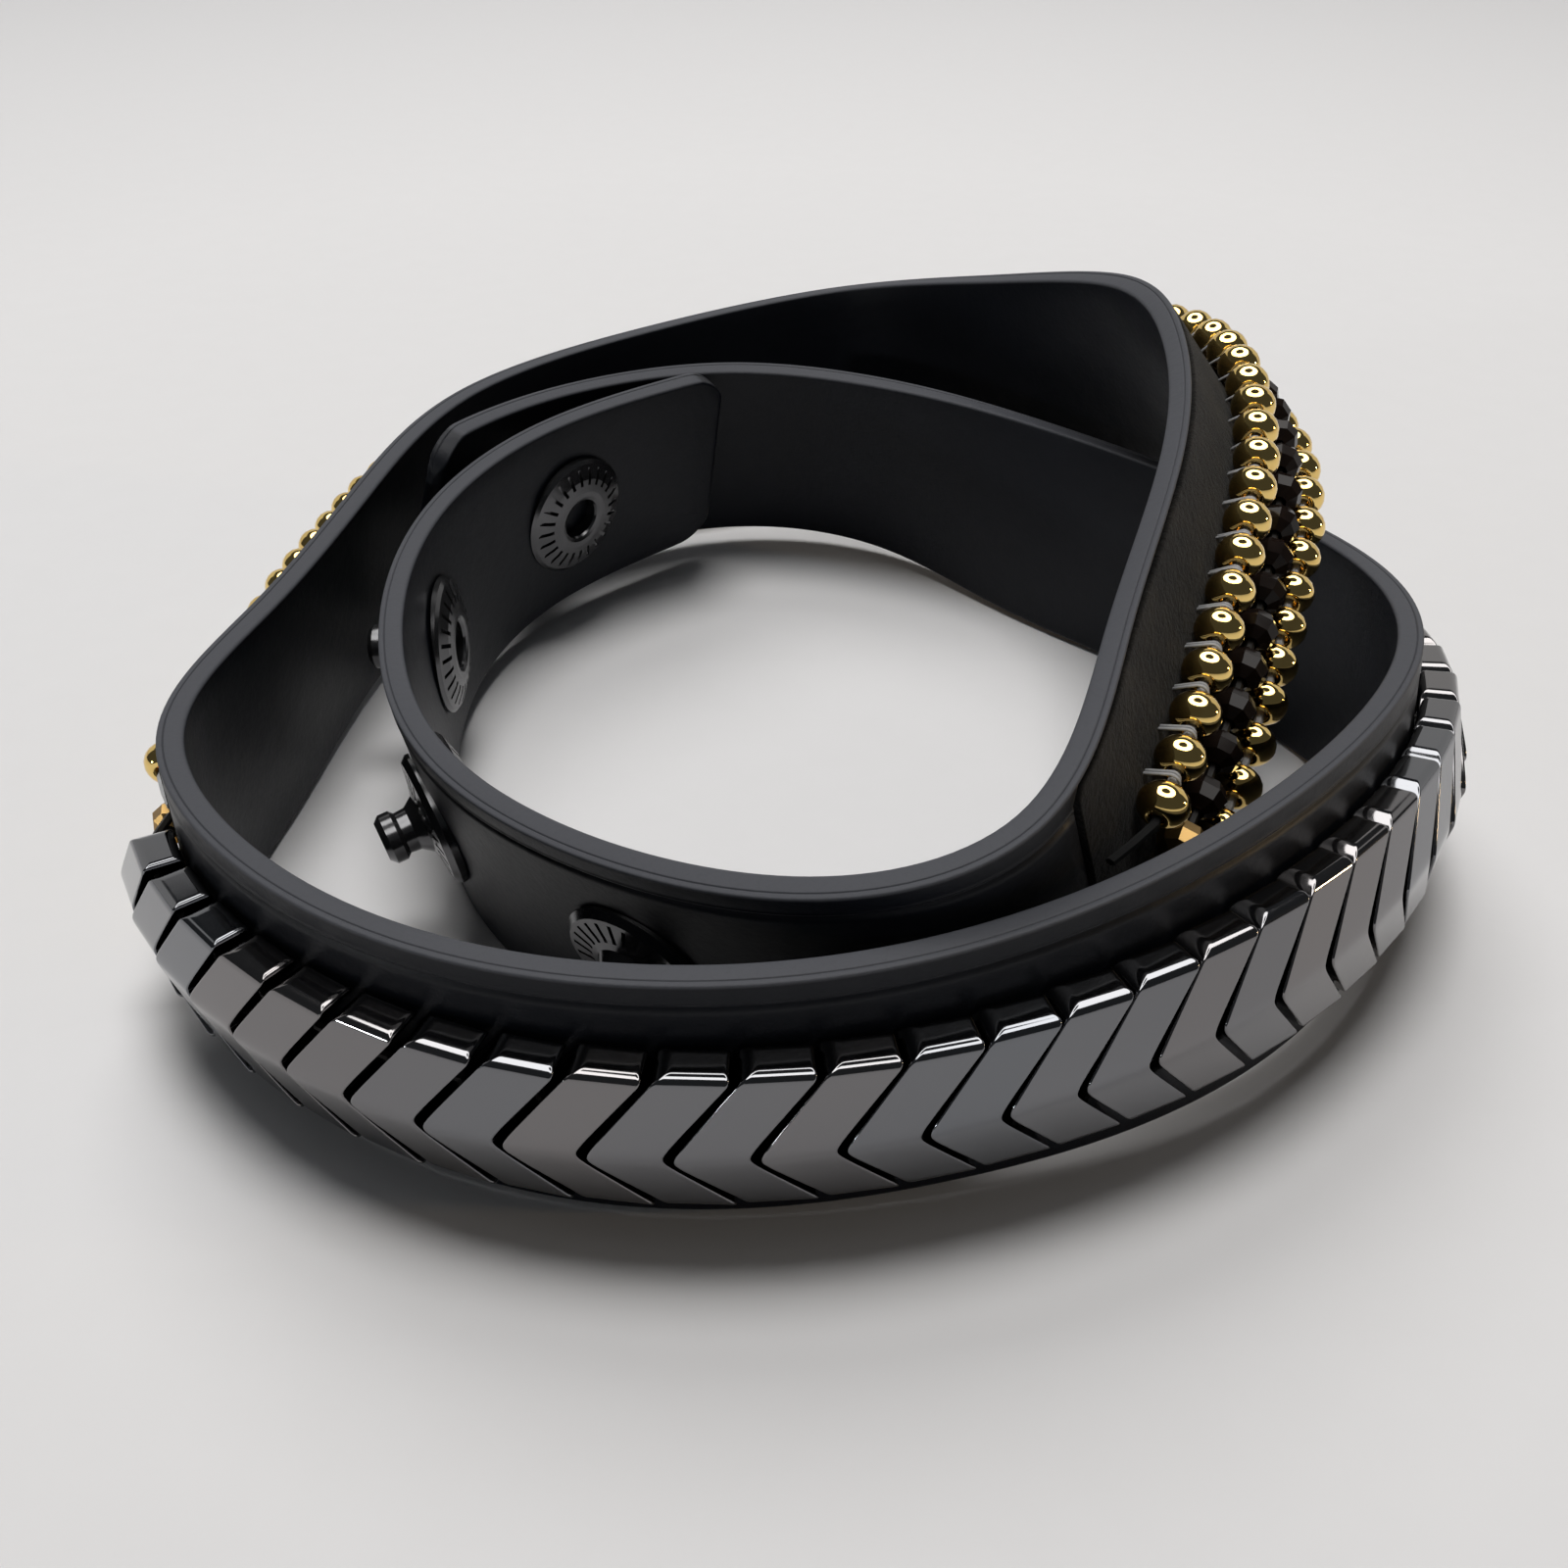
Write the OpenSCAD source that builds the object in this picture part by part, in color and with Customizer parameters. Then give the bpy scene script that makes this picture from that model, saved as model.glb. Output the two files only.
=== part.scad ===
// Wrap bracelet: one flat strap wound twice round the wrist and closed by a snap.
// Chevron stones are strung along part of its outer face. Three rows of round beads
// on a suede panel follow them. Spare snap studs make the length adjustable.

/* [Strap] */
// Width of the strap
strap_w = 15; // [14:0.5:16]
// Thickness of the strap
strap_t = 1.4; // [1.2:0.1:1.6]
// Corner radius at both ends
end_r = 3; // [2:0.5:5]
// Depth of the bed that holds the suede panel
bed_depth = 0.55; // [0.4:0.05:0.6]
// Thickness of the suede panel
panel_t = 0.5; // [0.4:0.05:0.5]

/* [Chevron stones] */
// Number of stones
stone_count = 30; // [2:1:30]
// Distance from one stone to the next
stone_pitch = 3.39; // [3.3:0.01:3.5]
// Width of a stone along the strap
stone_w = 3.15; // [2.6:0.05:3.15]
// Height of a stone across the strap
stone_h = 8.5; // [7:0.5:9]
// Lead of the point over the two ends
stone_lead = 3.2; // [2:0.1:4]
// Thickness of a stone at its ridge
stone_t = 2.85; // [2.4:0.05:3]

/* [Beads] */
// Number of beads in a row
bead_count = 56; // [2:1:56]
// Distance from one bead to the next
bead_pitch = 2.79; // [2.7:0.01:2.8]
// Diameter of a gold bead
gold_d = 2.6; // [2.2:0.1:2.6]
// Diameter of a dark bead
dark_d = 2.6; // [2.2:0.1:2.6]
// Length of a bead along its thread
bead_l = 2.2; // [2:0.1:2.4]
// Diameter of the thread hole in a bead or stone
thread_hole_d = 0.9; // [0.8:0.1:1]

/* [Snap] */
// Diameter of a cap
cap_d = 8.8; // [8:0.2:9.4]
// Diameter of a stud's base disc
base_d = 7.8; // [7:0.2:8.4]
// Diameter of a stud's head
head_d = 2.9; // [2.6:0.1:3.2]
// Height of a stud over the strap
stud_h = 3.2; // [3:0.05:3.3]
// Distance between the middles of the two layers at the snap
snap_gap = 4; // [3.9:0.05:4]

/* [Hidden] */
// Stations of the strap from its first end to its second, in the table's frame: the middle
// line as seen from above, its height, and the degrees that the top edge leans inward
// columns: x, y, z, lean
stations = [
    [-28, 2, 12, 25], [-25.5, 11, 11, 15], [-18.5, 25, 9.5, 10], [-5, 34, 9, 15],
    [8, 31, 8.5, 15], [17, 23, 7.5, -5], [24.5, 15.5, 7.5, -5], [36.5, 3.5, 7, 0],
    [36.5, -13.5, 9, 5], [23.5, -30, 9, 10], [8.5, -37, 8, -5], [-6, -39, 7.5, -5],
    [-21, -34.5, 7.5, -5], [-34, -20, 7.5, 0], [-30.5, -6, 7.5, 5], [-29, 10, 8, 10],
    [-25, 27, 8.5, 0], [-11, 36.5, 9.5, -5], [5, 41.5, 11.5, -5], [17, 30.5, 15.5, 10],
    [27, 19, 20.5, 25], [28.5, 4, 22, 45], [24.5, -9, 20, 25], [19, -22, 16, 25],
    [12.5, -34.5, 11.5, -5], [0.5, -34, 9, -20], [-15.5, -23, 7, -15], [-21.5, -10.5, 7.5, -10],
    [-23.5, 5, 8.5, 0], [-18, 19.5, 9.5, 10], [-5, 29, 10, 15], [5, 37, 11, 25]
];
// Where the middle of the wound bracelet's footprint lies on that table
middle = [2.18, 0.41, -0.225];

// Distances along the strap from its first end
socket_s = 12;
first_stone_s = 176;
bed_from = 178;
bed_to = 344.5;
// Studs, counted back from the second end
stud_back = [13.9, 33.5, 51.5, 69.2];
// Rows of beads wander across the strap between these distances
row_marks = [185, 203, 300, 337];
// columns: distance of the last bead, then the place across at each mark
gold_upper = [339.5, 2.2, 4.2, 2.7, 1.6];
dark_row = [338.9, -1.2, 1.4, 0, -1.8];
gold_lower = [338.4, -4.2, -1.4, -2.8, -4.8];

half_t = strap_t / 2;
face_gap = 0.05;
bead_h = half_t + 0.1 + gold_d / 2;
stone_lift = half_t + 0.16;
thread_d = 0.5;
stone_thread_w = 2;
stone_thread_h = stone_lift + 1.3;
groove_w = strap_w / 2 - 1.35;
stud_hole_d = 3.3;
socket_hole_d = 5;

// A uniform cubic through the stations
function basis(u) = [(1 - u) ^ 3, 3 * u ^ 3 - 6 * u ^ 2 + 4, -3 * u ^ 3 + 3 * u ^ 2 + 3 * u + 1, u ^ 3] / 6;
function slope(u) = [-(1 - u) ^ 2, 3 * u ^ 2 - 4 * u, -3 * u ^ 2 + 2 * u + 1, u ^ 2] / 2;
spans = len(stations) - 3;
function blend(weights, i) = weights * [for (k = [0:3]) stations[i + k]];
function span_at(t) = max(0, min(spans - 1, floor(t)));
function xyz(v) = [v[0], v[1], v[2]];
function point_at(t) = blend(basis(t - span_at(t)), span_at(t));
function run_at(t) = xyz(blend(slope(t - span_at(t)), span_at(t)));

// Distance along the strap against the spline's own parameter
steps = 24;
speeds = [for (i = [0:spans * steps]) norm(run_at(i / steps))];
lengths = [for (i = 0, s = 0; i <= spans * steps;
    i = i + 1, s = s + (i <= spans * steps ? (speeds[i - 1] + speeds[i]) / 2 / steps : 0)) [s, i / steps]];
strap_l = lengths[spans * steps][0];
function unit(v) = v / norm(v);

// Frame at a distance s: place, along the strap, across it towards the top edge, out of its outer face
function frame_at(s) =
    let (t = lookup(s, lengths), p = point_at(t), along = unit(run_at(t)),
        out = unit(cross([0, 0, 1], along)), up = cross(along, out), lean = p[3])
    [xyz(p) - middle, along, up * cos(lean) - out * sin(lean), out * cos(lean) + up * sin(lean)];
function spot(f, w, h) = f[0] + f[2] * w + f[3] * h;
// Radius of the strap's curve at s
function curve_r(s) = 8 / norm(frame_at(s + 4)[1] - frame_at(s - 4)[1]);
// Distance of a stud, the first one nearest to the second end
function stud_s(i) = strap_l - stud_back[i];

// Even steps between two distances
function spread(from, to, step) =
    let (n = ceil((to - from) / step)) [for (i = [0:n]) from + (to - from) * i / n];
function without_ends(list) = [for (i = [1:len(list) - 2]) list[i]];
end_steps = [0, 0.06, 0.2, 0.42, 0.7, 1];
end_list = [for (e = end_steps) e * end_r];
bed_list = spread(bed_from + 0.4, bed_to - 0.4, 3.3);
strap_list = concat(
    end_list,
    without_ends(spread(end_r, bed_from, 3.3)),
    [bed_from], bed_list, [bed_to],
    without_ends(spread(bed_to, strap_l - end_r, 3.3)),
    [for (i = [len(end_list) - 1:-1:0]) strap_l - end_list[i]]);
// How far the rounded ends draw the edges in at s
function draw_in(s) =
    let (d = min(s, strap_l - s)) d >= end_r ? 0 : end_r - sqrt(end_r ^ 2 - (end_r - d) ^ 2);
// Level of the outer face at s, lower in the bed of the panel
function face_h(s) = s > bed_from && s < bed_to ? half_t - bed_depth : half_t;

// Closed skin over equal rings, each quad split along the same diagonal
module skin(rings, split = 0) {
    m = len(rings[0]);
    n = len(rings);
    sides = [for (i = [0:n - 2], j = [0:m - 1])
        let (a = i * m + j, b = i * m + (j + 1) % m, c = a + m, d = b + m)
        each (split == 0 ? [[a, b, d], [a, d, c]] : [[a, b, c], [b, d, c]])];
    ends = [[for (j = [m - 1:-1:0]) j], [for (j = [0:m - 1]) (n - 1) * m + j]];
    polyhedron(points = [for (r = rings, p = r) p], faces = concat(sides, ends), convexity = 12);
}

// Puts a piece on the strap: x along it, y towards the lower edge, z out of the outer face
module on_strap(s, w = 0, h = 0) {
    f = frame_at(s);
    p = spot(f, w, h);
    multmatrix([for (k = [0:2]) [f[1][k], -f[2][k], f[3][k], p[k]]]) children();
}

function strap_ring(s) =
    let (f = frame_at(s), c = strap_w / 2 - draw_in(s), g = min(groove_w, c - 1.1),
        h = face_h(s), t = half_t)
    [for (q = [
        [-c, h - 0.25], [-c + 0.25, h], [-0.6, h], [g - 0.3, h], [g, t - 0.3], [g + 0.25, t], [c - 0.25, t],
        [c, t - 0.25], [c, 0.25 - t], [c - 0.25, -t], [-0.6, -t], [0.25 - c, -t], [-c, 0.25 - t]
    ]) spot(f, q[0], q[1])];

module strap() {
    color([0.07, 0.07, 0.08])
    difference() {
        skin([for (s = strap_list) strap_ring(s)]);
        for (i = [0:3]) on_strap(stud_s(i)) cylinder(h = 6, d = stud_hole_d, center = true, $fn = 32);
        on_strap(socket_s) cylinder(h = 6, d = socket_hole_d, center = true, $fn = 32);
    }
}

module bead_panel() {
    list = concat([bed_list[0] + 0.2], without_ends(bed_list), [bed_list[len(bed_list) - 1] - 0.2]);
    low = half_t - bed_depth + 0.03;
    c = strap_w / 2 - 0.5;
    color([0.16, 0.12, 0.11])
    skin([for (s = list) let (f = frame_at(s)) [for (q = [
        [-c, low], [-0.6, low], [groove_w - 0.4, low],
        [groove_w - 0.4, low + panel_t], [-0.6, low + panel_t], [-c, low + panel_t]
    ]) spot(f, q[0], q[1])]], 1);
}

// A six-sided thread along a row that dives to the strap beyond both ends of the row
module thread(from, to, row, h, step) {
    r = thread_d / 2;
    list = concat([from - 2.5, from - 1.2], spread(from, to, step), [to + 1.2, to + 2.5]);
    skin([for (s = list)
        let (f = frame_at(s), w = row_w(row, s), off = max(0, from - s, s - to),
            level = h - off / 2.5 * (h - half_t - r - 0.1))
        [for (a = [30:60:330]) spot(f, w + r * sin(a), level + r * cos(a))]]);
}

// Distance of a stone's middle, counted back from the beads
function stone_s(i) = first_stone_s - (i - 1) * stone_pitch + stone_lead / 2;

// One stone: a chevron outline cut from a low gable, drilled for two threads
module stone() {
    a = stone_w / 2;
    b = stone_lead / 2;
    y = stone_h / 2;
    side = stone_t - 1.25;
    difference() {
        intersection() {
            linear_extrude(stone_t + 1)
            polygon([[-b - a, -y], [a - b, -y], [a + b, -0.35], [a + b, 0.35], [a - b, y], [-b - a, y],
                [b - a - 0.1, 0.35], [b - a - 0.1, -0.35]]);
            rotate([90, 0, 90]) linear_extrude(4 * stone_w, center = true)
            polygon([[-y, 0.3], [0.3 - y, 0], [y - 0.3, 0], [y, 0.3], [y, side], [y - 0.4, side + 0.5],
                [0.4, stone_t], [-0.4, stone_t], [0.4 - y, side + 0.5], [-y, side]]);
        }
        for (side_y = [-stone_thread_w, stone_thread_w])
            translate([0, side_y, stone_thread_h - stone_lift]) rotate([0, 90, 0])
            cylinder(h = 4 * stone_w, d = thread_hole_d, center = true, $fn = 24);
    }
}

module chevron(i) {
    color([0.36, 0.36, 0.38]) on_strap(stone_s(i), 0, stone_lift) stone();
}

module chevron_thread(w) {
    color([0.05, 0.05, 0.05])
    thread(stone_s(stone_count) - 2, stone_s(1) + 1.7, [0, w, w, w, w], stone_thread_h, 1.7);
}

// Distance of a bead, and its row's place across the strap there
function bead_s(row, i) = row[0] - (bead_count - i) * bead_pitch;
function row_w(row, s) = lookup(s, [for (k = [0:3]) [row_marks[k], row[k + 1]]]);

module bead_row(row, d) {
    for (i = [1:bead_count]) on_strap(bead_s(row, i), row_w(row, bead_s(row, i)), bead_h)
        difference() {
            intersection() {
                sphere(d = d, $fn = 32);
                cube([bead_l, d + 1, d + 1], center = true);
            }
            rotate([0, 90, 0]) cylinder(h = 2 * d, d = thread_hole_d, center = true, $fn = 24);
        }
}

module bead_thread(row) {
    thread(bead_s(row, 1) - 1.2, bead_s(row, bead_count) + 1.2, row, bead_h, 1.4);
}

module gold_beads_upper() {
    color([0.83, 0.62, 0.3]) bead_row(gold_upper, gold_d);
}

module gold_beads_lower() {
    color([0.83, 0.62, 0.3]) bead_row(gold_lower, gold_d);
}

module dark_beads() {
    color([0.1, 0.1, 0.11]) bead_row(dark_row, dark_d);
}

module gold_thread(row) {
    color([0.7, 0.7, 0.68]) bead_thread(row);
}

module dark_thread() {
    color([0.1, 0.1, 0.1]) bead_thread(dark_row);
}

// Stud: notched base disc, waisted post with a round head, and a shank through the strap
module stud_body() {
    r = head_d / 2;
    b = base_d / 2;
    difference() {
        rotate_extrude($fn = 64)
        polygon([[0, -strap_t - 0.02], [1.5, -strap_t - 0.02], [1.5, -0.6], [b, -0.6], [b, 0.15],
            [b - 0.35, 0.5], [2.3, 0.65], [r + 0.25, 0.8], [r - 0.2, 1.4], [r - 0.25, stud_h - 1.2],
            [r, stud_h - 0.95], [r, stud_h - 0.35], [r - 0.35, stud_h], [0, stud_h]]);
        for (turn = [0:15:345]) rotate(turn) translate([2.1, -0.12, 0.36]) cube([b - 2.7, 0.24, 0.5]);
    }
}

// Round bar along the strap's curve at s: its skin lies at level h of the strap there
module bent_bar(s, h, length) {
    translate([0, 0, -curve_r(s)]) rotate([90, 0, 0])
    cylinder(h = length, r = curve_r(s) + h, center = true, $fn = 320);
}

// The stud's underside follows the strap's curve
module stud(i) {
    s = stud_s(i);
    h = half_t + face_gap;
    color([0.06, 0.06, 0.07])
    on_strap(s) difference() {
        translate([0, 0, h]) stud_body();
        difference() {
            bent_bar(s, h, 2 * base_d);
            cylinder(h = 20, r = 1.5, center = true, $fn = 64);
        }
    }
}

// Takes off all that stands nearer to the strap's inner face than h
module inner_room(s, h) {
    difference() {
        bent_bar(s, 4, 4 * cap_d);
        bent_bar(s, -h, 5 * cap_d);
    }
}

// Cap on the inner face: a low dome with notches and a central hole. Its rim follows the strap's curve.
module stud_cap(i) {
    s = stud_s(i);
    h = half_t + 0.12;
    r = cap_d / 2;
    color([0.1, 0.1, 0.11])
    on_strap(s) difference() {
        translate([0, 0, -h]) rotate_extrude($fn = 64)
        polygon([[1.45, 0], [r, 0.6], [r, -0.35], [r - 0.25, -0.55], [3.1, -0.9], [2.2, -1.05],
            [1.8, -1.05], [1.55, -0.95], [1.45, -0.8]]);
        inner_room(s, h);
        for (turn = [0:15:345]) rotate(turn) translate([2.7, -0.13, -h - 1.3]) cube([1.2, 0.26, 0.7]);
    }
}

// The first stud sits in this ring. Both lie along the stud's own axis.
head_bore = head_d / 2 + 0.15;
module at_socket() {
    on_strap(stud_s(0), 0, snap_gap) children();
}

module snap_socket() {
    h = half_t + 0.12;
    r = base_d / 2;
    color([0.1, 0.1, 0.11])
    at_socket() difference() {
        translate([0, 0, -h]) rotate_extrude($fn = 64)
        polygon([[head_bore, 0], [r, 0.5], [r, -0.95], [r - 0.3, -1.15],
            [head_bore + 1, -1.15], [head_bore, -0.55]]);
        inner_room(socket_s, h);
    }
}

module snap_cap() {
    h = half_t + 0.12;
    r = cap_d / 2;
    wall = head_bore + 0.4;
    color([0.1, 0.1, 0.11])
    at_socket() difference() {
        rotate_extrude($fn = 64)
        polygon([[0, h], [head_bore, h], [head_bore, -half_t], [wall, -half_t], [wall, h - 0.7],
            [r, h - 0.7], [r, h + 0.4], [r - 0.5, h + 0.9], [2, h + 1.15], [0, h + 1.2]]);
        difference() {
            bent_bar(socket_s, h, 2 * cap_d);
            cylinder(h = 20, r = wall, center = true, $fn = 64);
        }
    }
}

function numbered(name, i) = str(name, i < 10 ? "0" : "", i);

strap();
bead_panel();
chevron_thread(stone_thread_w);  // chevron_thread_upper
chevron_thread(-stone_thread_w);  // chevron_thread_lower
gold_beads_upper();
gold_beads_lower();
dark_beads();
gold_thread(gold_upper);  // gold_thread_upper
gold_thread(gold_lower);  // gold_thread_lower
dark_thread();
snap_socket();
snap_cap();
for (i = [1:4]) stud(i - 1);
for (i = [1:4]) stud_cap(i - 1);
for (i = [1:stone_count]) chevron(i);
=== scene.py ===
# Wrap bracelet: strap, suede, stones, beads and threads follow one path of stations,
# the studs and the snap are the frame's own parts with better finishes.
import math
import bpy
import bmesh
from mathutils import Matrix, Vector


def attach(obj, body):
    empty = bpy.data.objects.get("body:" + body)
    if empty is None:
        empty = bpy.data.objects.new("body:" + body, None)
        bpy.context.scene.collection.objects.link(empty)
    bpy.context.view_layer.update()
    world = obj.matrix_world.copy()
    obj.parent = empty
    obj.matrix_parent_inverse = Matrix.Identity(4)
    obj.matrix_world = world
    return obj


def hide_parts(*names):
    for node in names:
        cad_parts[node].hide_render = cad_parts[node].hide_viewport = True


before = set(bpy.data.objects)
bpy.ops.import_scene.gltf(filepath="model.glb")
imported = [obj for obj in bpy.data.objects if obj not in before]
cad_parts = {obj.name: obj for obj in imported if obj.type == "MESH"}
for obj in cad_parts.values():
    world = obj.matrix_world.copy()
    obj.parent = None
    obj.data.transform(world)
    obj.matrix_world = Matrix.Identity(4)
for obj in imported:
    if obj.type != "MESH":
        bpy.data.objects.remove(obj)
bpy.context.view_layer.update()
mm = 0.001

class Wire:
    # a socket of a node tree: sums of wires become Math nodes
    def __init__(self, tree, socket=None):
        self.tree = tree
        self.socket = socket

    def node(self, kind, settings=None, inputs=None, out=0):
        made = self.tree.nodes.new(kind)
        for name, value in (settings or {}).items():
            setattr(made, name, value)
        for key, value in (inputs or {}).items():
            if isinstance(value, Wire):
                self.tree.links.new(value.socket, made.inputs[key])
            elif value is not None:
                made.inputs[key].default_value = value
        return Wire(self.tree, made.outputs[out] if len(made.outputs) else None)

    def other(self, name):
        return Wire(self.tree, self.socket.node.outputs[name])

    def maths(self, operation, *values):
        return self.node("ShaderNodeMath", {"operation": operation}, dict(enumerate(values)))

    def vector(self, operation, *values, out=0):
        return self.node("ShaderNodeVectorMath", {"operation": operation}, dict(enumerate(values)), out)

    def scaled(self, amount):
        return self.node("ShaderNodeVectorMath", {"operation": "SCALE"}, {"Vector": self, "Scale": amount})

    def between(self, low, high, soft):
        # 1 inside the two limits, falling to 0 over a soft width
        return ((self - low) / soft).clamped() * ((high - self) / soft).clamped()

    def clamped(self):
        return self.node("ShaderNodeClamp", None, {0: self, 1: 0.0, 2: 1.0})

    def __add__(self, value):
        return self.maths("ADD", self, value)

    def __radd__(self, value):
        return self.maths("ADD", value, self)

    def __sub__(self, value):
        return self.maths("SUBTRACT", self, value)

    def __rsub__(self, value):
        return self.maths("SUBTRACT", value, self)

    def __mul__(self, value):
        return self.maths("MULTIPLY", self, value)

    def __rmul__(self, value):
        return self.maths("MULTIPLY", value, self)

    def __truediv__(self, value):
        return self.maths("DIVIDE", self, value)


def newTree(name, inputs):
    tree = bpy.data.node_groups.new(name, "GeometryNodeTree")
    tree.interface.new_socket("Geometry", in_out="OUTPUT", socket_type="NodeSocketGeometry")
    tree.interface.new_socket("Geometry", in_out="INPUT", socket_type="NodeSocketGeometry")
    for key, kind in inputs.items():
        tree.interface.new_socket(key, in_out="INPUT", socket_type="NodeSocket" + kind)
    return Wire(tree, tree.nodes.new("NodeGroupInput").outputs[0])


def endTree(geometry, material):
    # instances become real mesh, because the export drops them
    whole = geometry.node("GeometryNodeRealizeInstances", None, {"Geometry": geometry})
    whole = whole.node("GeometryNodeSetMaterial", None, {"Geometry": whole, "Material": material})
    end = whole.tree.nodes.new("NodeGroupOutput")
    whole.tree.links.new(whole.socket, end.inputs[0])
    return whole.tree


def addObject(name, mesh):
    piece = bpy.data.objects.new(name, mesh)
    bpy.context.scene.collection.objects.link(piece)
    return piece


def meshFrom(name, points, faces=(), edges=()):
    mesh = bpy.data.meshes.new(name)
    mesh.from_pydata(points, edges, faces)
    mesh.update()
    return mesh


def grow(name, seedMesh, tree, values):
    # runs a tree on a seed mesh and keeps the plain result
    seed = addObject(name + "Seed", seedMesh)
    modifier = seed.modifiers.new("grow", "NODES")
    modifier.node_group = tree
    for item in tree.interface.items_tree:
        if item.in_out == "INPUT" and item.name in values:
            modifier[item.identifier] = values[item.name]
    bpy.context.view_layer.update()
    graph = bpy.context.evaluated_depsgraph_get()
    mesh = bpy.data.meshes.new_from_object(seed.evaluated_get(graph))
    mesh.name = name
    bpy.data.objects.remove(seed)
    return addObject(name, mesh)


def outward(piece):
    shape = bmesh.new()
    shape.from_mesh(piece.data)
    bmesh.ops.recalc_face_normals(shape, faces=shape.faces)
    shape.to_mesh(piece.data)
    shape.free()
    piece.data.update()


# columns: x, y, z and lean of the top edge in degrees, from the first end to the second
stations = [
    (-28, 2, 12, 25), (-25.5, 11, 11, 15), (-18.5, 25, 9.5, 10), (-5, 34, 9, 15),
    (8, 31, 8.5, 15), (17, 23, 7.5, -5), (24.5, 15.5, 7.5, -5), (36.5, 3.5, 7, 0),
    (36.5, -13.5, 9, 5), (23.5, -30, 9, 10), (8.5, -37, 8, -5), (-6, -39, 7.5, -5),
    (-21, -34.5, 7.5, -5), (-34, -20, 7.5, 0), (-30.5, -6, 7.5, 5), (-29, 10, 8, 10),
    (-25, 27, 8.5, 0), (-11, 36.5, 9.5, -5), (5, 41.5, 11.5, -5), (17, 30.5, 15.5, 10),
    (27, 19, 20.5, 25), (28.5, 4, 22, 45), (24.5, -9, 20, 25), (19, -22, 16, 25),
    (12.5, -34.5, 11.5, -5), (0.5, -34, 9, -20), (-15.5, -23, 7, -15), (-21.5, -10.5, 7.5, -10),
    (-23.5, 5, 8.5, 0), (-18, 19.5, 9.5, 10), (-5, 29, 10, 15), (5, 37, 11, 25)]
middle = Vector((2.18, 0.41, -0.225))


def makePath():
    curve = bpy.data.curves.new("strapPath", "CURVE")
    curve.dimensions = "3D"
    spline = curve.splines.new("NURBS")
    spline.points.add(len(stations) - 1)
    spline.order_u = 4
    spline.use_endpoint_u = False
    spline.resolution_u = 32
    # the frame has the bracelet's middle at its origin
    for point, (x, y, z, lean) in zip(spline.points, stations):
        point.co = tuple((Vector((x, y, z)) - middle) * mm) + (1,)
        point.tilt = math.radians(lean)
    return addObject("strapPath", curve)


def frameOn(path, distance):
    # place, direction along, direction across towards the top edge, direction out of the outer face
    lean = path.node("GeometryNodeInputCurveTilt")
    at = path.node("GeometryNodeSampleCurve", {"mode": "LENGTH"},
                   {"Curves": path, "Value": lean, "Length": distance * mm}, "Position")
    along = at.other("Tangent")
    angle = at.other("Value")
    side = along.vector("NORMALIZE", along.vector("CROSS_PRODUCT", (0, 0, 1), along))
    rise = along.vector("CROSS_PRODUCT", along, side)
    cosine = angle.maths("COSINE", angle)
    sine = angle.maths("SINE", angle)
    across = along.vector("SUBTRACT", rise.scaled(cosine), side.scaled(sine))
    out = along.vector("ADD", side.scaled(cosine), rise.scaled(sine))
    return at, along, across, out


def pathOf(start):
    return start.node("GeometryNodeObjectInfo", {"transform_space": "ORIGINAL"},
                      {"Object": start.other("Path")}, "Geometry")


def placeOn(path, distance, across, height):
    at, along, side, out = frameOn(path, distance)
    spot = at.vector("ADD", at, side.scaled(across * mm))
    return at.vector("ADD", spot, out.scaled(height * mm)), along, side, out


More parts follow.
